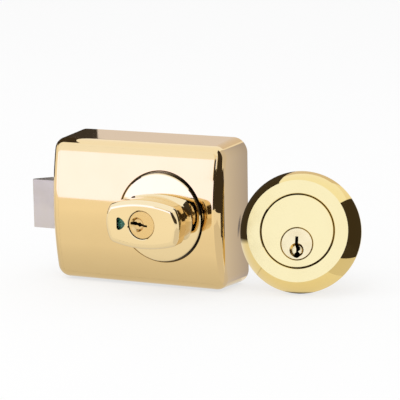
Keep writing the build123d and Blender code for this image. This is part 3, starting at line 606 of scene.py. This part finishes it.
def makeNutThreads(look):
    low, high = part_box("clinch_nuts")
    reach = look["nutRadius"]
    sets = []
    for x in (low.x + reach, high.x - reach):
        sets.append({
            "Count": 2, "Start": Vector((x, (low.y + high.y) / 2, low.z + reach)),
            "Step": Vector((0, 0, high.z - low.z - 2 * reach)), "Direction": Vector((0, 1, 0)),
            "Length": (high.y - low.y) * look["lengthShare"], "Radius": look["radius"],
            "Wire": look["wire"], "Turns": look["turns"],
        })
    makeCoils("nutThreads", "lock_case", "plate_steel", sets)


boltSpringLook = {
    "wire": 0.00040,
    "turns": 8.0,
    "keep": 0.49,  # its share of length when the bolt is drawn back
}


def makeBoltSpring(look):
    low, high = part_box("bolt_spring")
    place = middle("bolt_spring")
    wire = look["wire"]
    spring = makeCoils(
        "boltSpring", "lock_case", "spring_steel",
        [{
            "Count": 1, "Start": place, "Direction": Vector((1, 0, 0)),
            "Length": high.x - low.x - 2 * wire, "Radius": (high.z - low.z) / 2 - wire,
            "Wire": wire, "Turns": look["turns"],
        }],
    )
    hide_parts("bolt_spring")
    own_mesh(spring)


makeBoltSpring(boltSpringLook)
makePinSprings(pinSpringLook)
makeNutThreads(nutThreadLook)
print("springs and threads made")


# Smooth skin over the rounded edge round the case's front

caseEdge = {
    "corner": 0.007,
    "draft": 3.0,
    "crownRadius": 0.115,
    "round": 0.0044,
    "lift": 0.00002,
    "sideSteps": 60,
    "cornerSteps": 16,
    "roundSteps": 48,
}


def makeCaseEdge(look):
    low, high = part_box("case_cover")
    caseDepth, middleX = -low.y, (low.x + high.x) / 2
    halfX, halfZ = (high.x - low.x) / 2 - look["corner"], (high.z - low.z) / 2 - look["corner"]
    corners = [Vector((x * halfX, z * halfZ)) for x, z in ((1, 1), (-1, 1), (-1, -1), (1, -1))]
    path = []
    for quarter, corner in enumerate(corners):
        for step in range(look["cornerSteps"] + 1):
            angle = math.pi / 2 * (quarter + step / look["cornerSteps"])
            outward = Vector((math.cos(angle), math.sin(angle)))
            path.append((corner, outward))
        following = corners[(quarter + 1) % 4]
        for step in range(1, look["sideSteps"]):
            path.append((corner.lerp(following, step / look["sideSteps"]), outward))
    slope = math.radians(look["draft"])
    ball = look["round"]
    crownCentre = look["crownRadius"] - caseDepth
    points, normals = [], []
    # A ball rolls round inside the case and touches its front and its side
    for base, outward in path:
        depth = caseDepth - ball
        for settling in range(20):
            reach = look["corner"] - depth * math.tan(slope) - ball / math.cos(slope)
            place = base + outward * reach
            depth = math.sqrt((look["crownRadius"] - ball) ** 2 - place.y**2) - crownCentre
        centre = Vector((place.x + middleX, -depth, place.y))
        frontWay = Vector((0, -(depth + crownCentre), place.y)).normalized()
        sideWay = Vector((outward.x * math.cos(slope), -math.sin(slope), outward.y * math.cos(slope)))
        for step in range(look["roundSteps"] + 1):
            normal = frontWay.slerp(sideWay, step / look["roundSteps"])
            points.append(centre + normal * (ball + look["lift"]))
            normals.append(normal)
    rows = look["roundSteps"] + 1
    faces = []
    for k in range(len(path)):
        nextK = (k + 1) % len(path)
        for r in range(rows - 1):
            faces.append((
                k * rows + r, k * rows + r + 1, nextK * rows + r + 1, nextK * rows + r,
            ))
    mesh = bpy.data.meshes.new("caseEdge")
    mesh.from_pydata(points, [], faces)
    mesh.shade_smooth()
    mesh.normals_split_custom_set_from_vertices(normals)
    mesh.materials.append(materials["case_brass"])
    edge = addObject("caseEdge", mesh)
    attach(edge, "lock_case")
    print("case edge made:", len(mesh.polygons), "faces")


makeCaseEdge(caseEdge)


# Studio: polished brass shows what stands round it, so lit and dark cards stand where only it sees them; they
# light nothing, and paint highlights and dark reflections into its mirror images

studio = {
    "worldLight": 0.9,
    "floorGlow": 0.7,
    "floorColour": (0.93, 0.93, 0.93),
    "floorReach": 4.0,
    "soft": (1.42, 1.49, 2.38),
    "band": (1.08, 1.18, 1.42),
    "overhead": (1.08, 1.16, 1.35),
    "ring": (1.13, 1.34, 2.15),
    # painted shade of the floor beside the case and the ring, seen only in mirror images
    "back": (0.78, 0.71, 0.67),
    "floorShadeRight": (0.78, 0.76, 0.74),
    "dark": (0.05, 0.04, 0.03),
    "near": -0.41,
    "far": -1.20,
}


def glowMaterial(name):
    material = bpy.data.materials.new(name)
    material.use_nodes = True
    tree = material.node_tree
    tree.nodes.clear()
    glow = addNode(tree, "ShaderNodeEmission", values={"Strength": 1.0})
    addNode(tree, "ShaderNodeOutputMaterial", links={"Surface": glow.outputs["Emission"]})
    return material, tree, glow


def plainGlow(name, colour):
    material, tree, glow = glowMaterial(name)
    glow.inputs["Color"].default_value = (*colour, 1)
    return material


def surfacePlace(tree):
    place = addNode(tree, "ShaderNodeNewGeometry")
    return place, addNode(tree, "ShaderNodeSeparateXYZ", links={"Vector": place.outputs["Position"]})


partingLook = {
    "caseFront": (0.72, 0.72, 0.80),
    "caseBack": (0.48, 0.48, 0.60),
    "caseDepths": (-0.024, 0.0),
    "ringLow": (0.9, 0.9, 0.9),
    "ringHeights": (-0.011, -0.014),
}


# Between the case and the ring, a sheet only mirror images see: a painted reflection, soft on the case's side
# and dark on the ring's
def partingGlow(look):
    material, tree, glow = glowMaterial("partingCard")
    place, apart = surfacePlace(tree)
    toBack = addNode(
        tree, "ShaderNodeMapRange",
        values={"From Min": look["caseDepths"][0], "From Max": look["caseDepths"][1]},
        links={"Value": apart.outputs["Y"]},
    )
    caseSide = addNode(
        tree, "ShaderNodeMix", settings={"data_type": "RGBA"},
        values={6: (*look["caseFront"], 1), 7: (*look["caseBack"], 1)},
        links={0: toBack.outputs["Result"]},
    )
    low = addNode(
        tree, "ShaderNodeMapRange",
        values={"From Min": look["ringHeights"][0], "From Max": look["ringHeights"][1]},
        links={"Value": apart.outputs["Z"]},
    )
    ringSide = addNode(
        tree, "ShaderNodeMix", settings={"data_type": "RGBA"},
        values={6: (*studio["dark"], 1), 7: (*look["ringLow"], 1)},
        links={0: low.outputs["Result"]},
    )
    both = addNode(
        tree, "ShaderNodeMix", settings={"data_type": "RGBA"},
        links={0: place.outputs["Backfacing"], 6: ringSide.outputs[2], 7: caseSide.outputs[2]},
    )
    tree.links.new(both.outputs[2], glow.inputs["Color"])
    return material


floorShadowLook = {
    "colour": (1, 0.98, 0.93),
    "depths": (-0.028, -0.060, -0.20),
    "strengths": (0.73, 0.92, 1.06),
}


# Just over the floor, a painted shadow of the case: it grows darker toward the case, as seen in its polished
# front, and only mirror images show it
def floorShadowGlow(look):
    material, tree, glow = glowMaterial("floorShadow")
    place, apart = surfacePlace(tree)
    first, second, third = look["strengths"]
    close = addNode(
        tree, "ShaderNodeMapRange",
        values={
            "From Min": look["depths"][0], "From Max": look["depths"][1],
            "To Min": first, "To Max": second,
        },
        links={"Value": apart.outputs["Y"]},
    )
    distant = addNode(
        tree, "ShaderNodeMapRange",
        values={
            "From Min": look["depths"][1], "From Max": look["depths"][2],
            "To Min": 0.0, "To Max": third - second,
        },
        links={"Value": apart.outputs["Y"]},
    )
    fade = addNode(
        tree, "ShaderNodeMath", settings={"operation": "ADD"},
        links={0: close.outputs["Result"], 1: distant.outputs["Result"]},
    )
    tree.links.new(fade.outputs["Value"], glow.inputs["Strength"])
    glow.inputs["Color"].default_value = (*look["colour"], 1)
    return material


near, far = studio["near"], studio["far"]
justOver = floorHeight + 0.0002
parting = partingGlow(partingLook)
# An upright card goes from one point of the floor plan to another, a level one lies in a rectangle
cards = {
    "softBox": {
        "from": (-0.65, near), "to": (-0.150, near), "heights": (floorHeight, 0.150), "glow": "soft",
    },
    "softLow": {
        "from": (-0.150, near), "to": (-0.050, near), "heights": (floorHeight, 0.070), "glow": "soft",
    },
    "bandBox": {"from": (-0.70, near), "to": (-0.150, near), "heights": (0.150, 0.42), "glow": "band"},
    "darkNear": {
        "from": (-0.049, near - 0.002), "to": (0.80, near - 0.002), "heights": (floorHeight, 0.060),
        "glow": "dark",
    },
    "darkFar": {"from": (-0.386, far), "to": (2.5, far), "heights": (floorHeight, 0.29), "glow": "dark"},
    "darkFarHigh": {"from": (-0.386, far), "to": (0.045, far), "heights": (0.29, 0.40), "glow": "dark"},
    "ringBox": {
        "from": (0.05, far + 0.01), "to": (0.18, far + 0.01), "heights": (0.29, 0.48), "glow": "ring",
    },
    "overheadBox": {"x": (-1.5, 1.5), "y": (-1.5, 1.2), "height": 0.80, "glow": "overhead"},
    "darkRight": {
        "from": (0.097, -0.030), "to": (0.097, 0.060), "heights": (-0.0255, 0.0240), "glow": "dark",
    },
    "darkEdge": {
        "from": (0.0345, -0.0245), "to": (0.0345, -0.0450), "heights": (0.003, 0.065), "glow": "dark",
    },
    "darkLeftBack": {
        "from": (-0.70, 0.05), "to": (-0.187, 0.25), "heights": (floorHeight, 0.16), "glow": "dark",
    },
    "darkLeftTop": {"x": (-0.13, -0.056), "y": (-0.036, 0.012), "height": 0.05, "glow": "dark"},
    "backCard": {"from": (-1.2, 1.0), "to": (0.2, 1.0), "heights": (0.18, 0.75), "glow": "back"},
    # Painted shadow of the case on the floor, seen only in mirror images
    "floorShadow": {
        "x": (-0.40, 0.033), "y": (-0.40, 0.0), "height": justOver, "glow": floorShadowGlow(floorShadowLook),
    },
    # Painted shade: a dimmer floor beside the case and round the ring, seen only in mirror images
    "floorShadeRight": {"x": (0.033, 0.16), "y": (-0.17, -0.022), "height": justOver, "glow": "floorShadeRight"},
    "floorShadeRing": {"x": (0.086, 0.16), "y": (-0.022, 0.03), "height": justOver, "glow": "floorShadeRight"},
    # Painted reflection between the case's side and the ring
    "partingFront": {
        "from": (0.0310, -0.0235), "to": (0.0322, 0.0), "heights": (floorHeight, 0.037), "glow": parting,
    },
    "partingBack": {
        "from": (0.0322, 0.0), "to": (0.0322, 0.09), "heights": (floorHeight, 0.037), "glow": parting,
    },
}


def makeCard(name, look):
    if "height" in look:
        (left, right), (front, back), height = look["x"], look["y"], look["height"]
        corners = [(left, front, height), (right, front, height), (right, back, height), (left, back, height)]
    else:
        start, end, (low, high) = look["from"], look["to"], look["heights"]
        corners = [(*start, low), (*end, low), (*end, high), (*start, high)]
    mesh = bpy.data.meshes.new(name)
    mesh.from_pydata(corners, [], [(0, 1, 2, 3)])
    glow = look["glow"]
    mesh.materials.append(plainGlow(name, studio[glow]) if isinstance(glow, str) else glow)
    sheet = addObject(name, mesh)
    sheet.visible_camera = False
    sheet.visible_diffuse = False
    sheet.visible_shadow = False


for name, look in cards.items():
    makeCard(name, look)
print("cards placed:", len(cards))


# White for the camera and in mirror images, without more light on the object
def whiteShare(tree, share):
    path = addNode(tree, "ShaderNodeLightPath")
    seen = addNode(
        tree, "ShaderNodeMath", settings={"operation": "MAXIMUM"},
        links={0: path.outputs["Is Camera Ray"], 1: path.outputs["Is Glossy Ray"]},
    )
    also = addNode(
        tree, "ShaderNodeMath", settings={"operation": "MAXIMUM"},
        links={0: seen.outputs["Value"], 1: path.outputs["Is Transmission Ray"]},
    )
    return addNode(
        tree, "ShaderNodeMath", settings={"operation": "MULTIPLY"}, values={1: share},
        links={0: also.outputs["Value"]},
    ).outputs["Value"]


def makeFloor():
    mesh = bpy.data.meshes.new("floor")
    reach = studio["floorReach"]
    z = floorHeight - 0.00003
    corners = [(-reach, -reach, z), (reach, -reach, z), (reach, reach, z), (-reach, reach, z)]
    mesh.from_pydata(corners, [], [(0, 1, 2, 3)])
    material = bpy.data.materials.new("floor")
    material.use_nodes = True
    tree = material.node_tree
    shader = tree.nodes["Principled BSDF"]
    shader.inputs["Base Color"].default_value = (*studio["floorColour"], 1)
    shader.inputs["Roughness"].default_value = 0.9
    shader.inputs["Specular IOR Level"].default_value = 0.1
    glow = addNode(tree, "ShaderNodeEmission", values={"Color": (1, 1, 1, 1), "Strength": 1.0})
    both = addNode(
        tree, "ShaderNodeMixShader",
        links={
            0: whiteShare(tree, studio["floorGlow"]),
            1: shader.outputs["BSDF"], 2: glow.outputs["Emission"],
        },
    )
    tree.links.new(both.outputs["Shader"], tree.nodes["Material Output"].inputs["Surface"])
    mesh.materials.append(material)
    addObject("floor", mesh)


def makeWorld():
    world = bpy.data.worlds.new("studio")
    bpy.context.scene.world = world
    world.use_nodes = True
    tree = world.node_tree
    tree.nodes.clear()
    light = addNode(
        tree, "ShaderNodeBackground", values={"Color": (1, 1, 1, 1), "Strength": studio["worldLight"]}
    )
    white = addNode(tree, "ShaderNodeBackground", values={"Color": (1, 1, 1, 1), "Strength": 1.0})
    both = addNode(
        tree, "ShaderNodeMixShader",
        links={0: whiteShare(tree, 1.0), 1: light.outputs["Background"], 2: white.outputs["Background"]},
    )
    addNode(tree, "ShaderNodeOutputWorld", links={"Surface": both.outputs["Shader"]})


topLamp = {
    "place": (-0.3, -0.5, 1.3),
    "turn": (22, -13, 0),
    "size": 1.2,
    "power": 4.0,
}


def makeTopLamp(look):
    data = bpy.data.lights.new("topLamp", "AREA")
    data.shape = "RECTANGLE"
    data.size = data.size_y = look["size"]
    data.energy = look["power"]
    lamp = addObject("topLamp", data)
    lamp.location = look["place"]
    lamp.rotation_euler = [math.radians(angle) for angle in look["turn"]]
    lamp.visible_glossy = False


makeFloor()
makeWorld()
makeTopLamp(topLamp)
print("floor, world and lamp made")


cameraSetup = {
    "place": (0.4055, -0.8329, 0.1788),
    "yaw": 25.57,
    "pitch": 10.74,
    "roll": -0.90,
    "lens": 177.5,
    "sensor": 36,
    "nearest": 0.01,
}


def makeCamera(look):
    yaw, pitch, roll = (math.radians(look[key]) for key in ("yaw", "pitch", "roll"))
    ahead = Vector((-math.sin(yaw) * math.cos(pitch), math.cos(yaw) * math.cos(pitch), -math.sin(pitch)))
    side = Vector((math.cos(yaw), math.sin(yaw), 0))
    above = side.cross(ahead)
    tiltedSide = side * math.cos(roll) + above * math.sin(roll)
    tiltedAbove = above * math.cos(roll) - side * math.sin(roll)
    data = bpy.data.cameras.new("camera")
    data.lens = look["lens"]
    data.sensor_width = look["sensor"]
    data.clip_start = look["nearest"]
    camera = addObject("camera", data)
    turned = Matrix((tiltedSide, tiltedAbove, -ahead)).transposed().to_4x4()
    camera.matrix_world = Matrix.Translation(look["place"]) @ turned
    bpy.context.scene.camera = camera


makeCamera(cameraSetup)
bpy.context.scene.view_settings.view_transform = "Standard"

print("ready to render")
